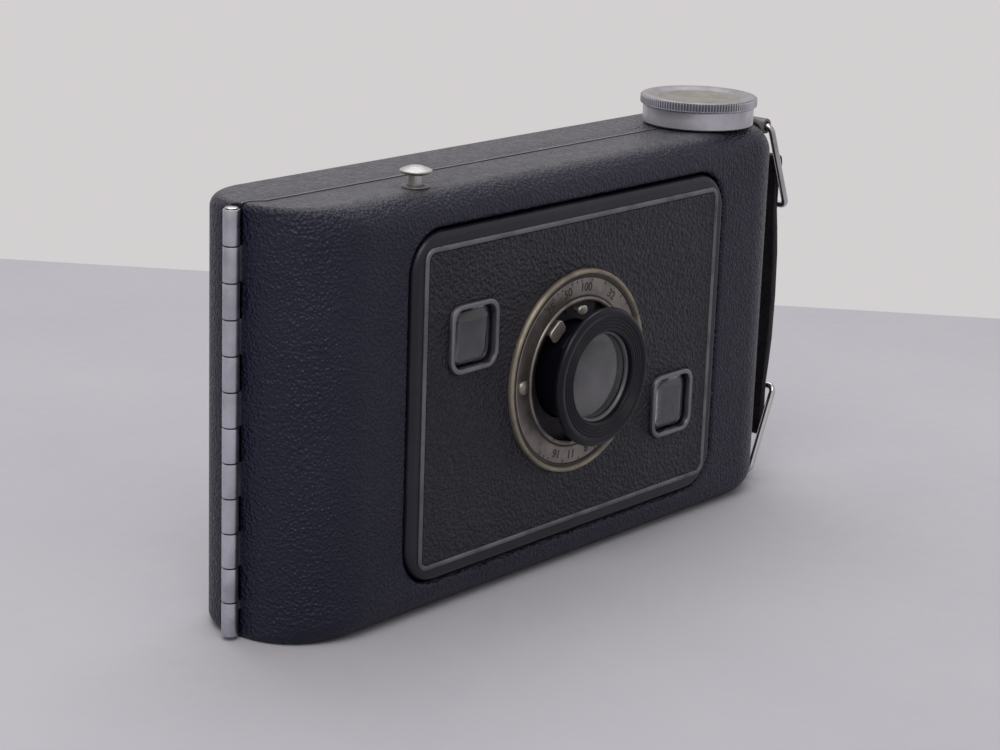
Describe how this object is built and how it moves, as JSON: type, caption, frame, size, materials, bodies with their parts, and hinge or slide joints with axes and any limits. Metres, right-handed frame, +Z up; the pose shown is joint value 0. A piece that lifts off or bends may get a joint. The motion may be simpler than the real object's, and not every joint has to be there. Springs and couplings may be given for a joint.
{
  "type": "folding roll-film camera",
  "caption": "Flat folding roll-film camera, closed, with a pop-out lens panel, folding struts and bellows, a hinged back, winding knob, two finder windows and a carrying strap.",
  "frame": {"origin": "on the flat base, under the lens axis and 11 mm behind the face of the front panel", "axes": "+X along the long side, away from the cover hinge; lens looks along -Y; +Z up, towards the winding knob"},
  "size_m": [0.1635, 0.0411, 0.0905],
  "materials": {
    "leatherette": "fine pebbled grain, blue-black",
    "black_enamel": "semi-gloss black enamel",
    "border_paint": "satin grey, raised line",
    "nickel": "satin nickel",
    "bright_nickel": "bright nickel",
    "lever_nickel": "satin, slightly tarnished",
    "finder_frame": "satin grey metal",
    "old_brass": "tarnished champagne nickel over brass",
    "satin_aluminium": "satin, slightly pitted",
    "steel": "plain",
    "black_steel": "matt black",
    "bezel_black": "black, slightly greyed",
    "lens_glass": "polished, faint haze",
    "red_glass": "dark red",
    "mirror": "silvered",
    "bellows_leather": "matt black, pleated",
    "strap_leather": "black, smooth, worn"
  },
  "bodies": {
    "camera_body": {"front_shell": "leatherette", "inner_frame": "black_steel", "body_hinge_leaf": "nickel", "hinge_pin": "steel", "takeup_pin_bottom": "steel", "supply_pin_bottom": "steel", "supply_pin_top": "steel", "knob_bush": "steel", "button_guide": "old_brass", "latch_catch": "steel", "tripod_bush": "nickel", "strut_bracket_top": "black_steel", "strut_bracket_bottom": "black_steel", "strap_lug_top": "bright_nickel", "strap_lug_bottom": "bright_nickel", "bellows": "bellows_leather", "button_spring": "steel"},
    "back_cover": {"back_shell": "leatherette", "cover_hinge_leaf": "nickel", "window_ring": "nickel", "window_glass": "red_glass", "pressure_plate": "black_steel", "pressure_spring": "steel"},
    "cover_latch": {"cover_latch": "nickel"},
    "film_roller_left": {"film_roller_left": "nickel"},
    "film_roller_right": {"film_roller_right": "nickel"},
    "supply_spool": {"supply_spool": "black_steel"},
    "takeup_spool": {"takeup_spool": "black_steel"},
    "knob_sleeve": {"knob_sleeve": "steel"},
    "winding_knob": {"winding_knob": "satin_aluminium"},
    "release_button": {"release_button": "bright_nickel"},
    "front_panel": {"front_panel": "black_enamel", "panel_border": "border_paint", "panel_covering": "leatherette", "escutcheon": "old_brass", "escutcheon_rivet": "lever_nickel", "shutter_housing": "black_steel", "rear_lens": "lens_glass", "finder_frame_left": "finder_frame", "finder_frame_right": "finder_frame", "finder_glass_left": "lens_glass", "finder_glass_right": "lens_glass", "finder_hood_left": "black_steel", "finder_hood_right": "black_steel", "finder_mirror_left": "mirror", "finder_mirror_right": "mirror", "panel_catch": "steel"},
    "lens_bezel": {"lens_bezel": "bezel_black", "lens_barrel": "bezel_black", "front_lens": "lens_glass"},
    "shutter_lever": {"shutter_lever": "lever_nickel"},
    "shutter_blade": {"shutter_blade": "steel"},
    "time_lever": {"time_lever": "lever_nickel"},
    "strut_a_top": {"strut_a_top": "nickel"},
    "strut_b_top": {"strut_b_top": "nickel"},
    "strut_a_bottom": {"strut_a_bottom": "nickel"},
    "strut_b_bottom": {"strut_b_bottom": "nickel"},
    "carrying_strap": {"carrying_strap": "strap_leather"},
    "strap_loop_top": {"strap_loop_top": "bright_nickel"},
    "strap_loop_bottom": {"strap_loop_bottom": "bright_nickel"}
  },
  "joints": [
    {"name": "back_cover_hinge", "type": "hinge", "parent": "camera_body", "child": "back_cover", "pos_m": [-0.0777, 0.0079, 0.042], "axis": [0, 0, 1], "range_deg": [0, 130]},
    {"name": "cover_latch_slide", "type": "slide", "parent": "back_cover", "child": "cover_latch", "axis": [0, 0, 1], "range_m": [0, 0.003]},
    {"name": "film_roller_left_spin", "type": "hinge", "parent": "camera_body", "child": "film_roller_left", "pos_m": [-0.0464, 0.011, 0.042], "axis": [0, 0, 1], "continuous": true},
    {"name": "film_roller_right_spin", "type": "hinge", "parent": "camera_body", "child": "film_roller_right", "pos_m": [0.0464, 0.011, 0.042], "axis": [0, 0, 1], "continuous": true},
    {"name": "supply_spool_spin", "type": "hinge", "parent": "camera_body", "child": "supply_spool", "pos_m": [-0.0577, 0.004, 0.042], "axis": [0, 0, 1], "continuous": true},
    {"name": "knob_pull", "type": "slide", "parent": "camera_body", "child": "knob_sleeve", "axis": [0, 0, 1], "range_m": [0, 0.004]},
    {"name": "knob_spin", "type": "hinge", "parent": "knob_sleeve", "child": "winding_knob", "pos_m": [0.0577, 0.004, 0.042], "axis": [0, 0, 1], "continuous": true},
    {"name": "takeup_spool_spin", "type": "hinge", "parent": "camera_body", "child": "takeup_spool", "pos_m": [0.0577, 0.004, 0.042], "axis": [0, 0, 1], "continuous": true},
    {"name": "release_press", "type": "slide", "parent": "camera_body", "child": "release_button", "axis": [0, 0, -1], "range_m": [0, 0.001], "stiffness_N_per_m": 400},
    {"name": "panel_slide", "type": "slide", "parent": "camera_body", "child": "front_panel", "axis": [0, -1, 0], "range_m": [0, 0.07], "deforming": ["bellows"]},
    {"name": "strut_a_top_turn", "type": "hinge", "parent": "camera_body", "child": "strut_a_top", "pos_m": [-0.045, 0.0015, 0.0738], "axis": [0, 0, -1], "range_deg": [0, 51.26]},
    {"name": "strut_b_top_turn", "type": "hinge", "parent": "strut_a_top", "child": "strut_b_top", "pos_m": [0, 0.0015, 0.0727], "axis": [0, 0, 1], "range_deg": [0, 102.52]},
    {"name": "strut_a_bottom_turn", "type": "hinge", "parent": "camera_body", "child": "strut_a_bottom", "pos_m": [-0.045, 0.0015, 0.0102], "axis": [0, 0, -1], "range_deg": [0, 51.26]},
    {"name": "strut_b_bottom_turn", "type": "hinge", "parent": "strut_a_bottom", "child": "strut_b_bottom", "pos_m": [0, 0.0015, 0.0113], "axis": [0, 0, 1], "range_deg": [0, 102.52]},
    {"name": "focus_turn", "type": "hinge", "parent": "front_panel", "child": "lens_bezel", "pos_m": [0, -0.012, 0.042], "axis": [0, 1, 0], "range_deg": [0, 75]},
    {"name": "shutter_lever_turn", "type": "hinge", "parent": "front_panel", "child": "shutter_lever", "pos_m": [0, -0.01, 0.042], "axis": [0, -1, 0], "range_deg": [0, 22], "stiffness_Nm_per_rad": 0.02, "springref_deg": -5.73},
    {"name": "shutter_blade_turn", "type": "hinge", "parent": "front_panel", "child": "shutter_blade", "pos_m": [0.011, -0.0056, 0.036], "axis": [0, 1, 0], "range_deg": [0, 44.5]},
    {"name": "time_lever_turn", "type": "hinge", "parent": "front_panel", "child": "time_lever", "pos_m": [0, -0.01, 0.042], "axis": [0, 1, 0], "range_deg": [0, 20]},
    {"name": "strap_lift", "type": "slide", "parent": "camera_body", "child": "carrying_strap", "axis": [1, 0, 0], "range_m": [0, 0.005]},
    {"name": "strap_loop_top_turn", "type": "hinge", "parent": "camera_body", "child": "strap_loop_top", "pos_m": [0.0756, 0.0024, 0.0823], "axis": [0, -1, 0], "range_deg": [0, 16.55]},
    {"name": "strap_loop_bottom_turn", "type": "hinge", "parent": "camera_body", "child": "strap_loop_bottom", "pos_m": [0.0756, 0.0024, 0.0017], "axis": [0, 1, 0], "range_deg": [0, 16.55]}
  ],
  "couplings": [
    {"joint": "takeup_spool_spin", "follows": "knob_spin", "ratio": 1},
    {"joint": "strut_a_top_turn", "follows": "panel_slide", "rad_per_m": 12.73},
    {"joint": "strut_b_top_turn", "follows": "panel_slide", "rad_per_m": 25.461},
    {"joint": "strut_a_bottom_turn", "follows": "panel_slide", "rad_per_m": 12.73},
    {"joint": "strut_b_bottom_turn", "follows": "panel_slide", "rad_per_m": 25.461},
    {"joint": "shutter_blade_turn", "follows": "shutter_lever_turn", "ratio": 2},
    {"joint": "strap_loop_top_turn", "follows": "strap_lift", "rad_per_m": 57.06},
    {"joint": "strap_loop_bottom_turn", "follows": "strap_lift", "rad_per_m": 57.06}
  ]
}
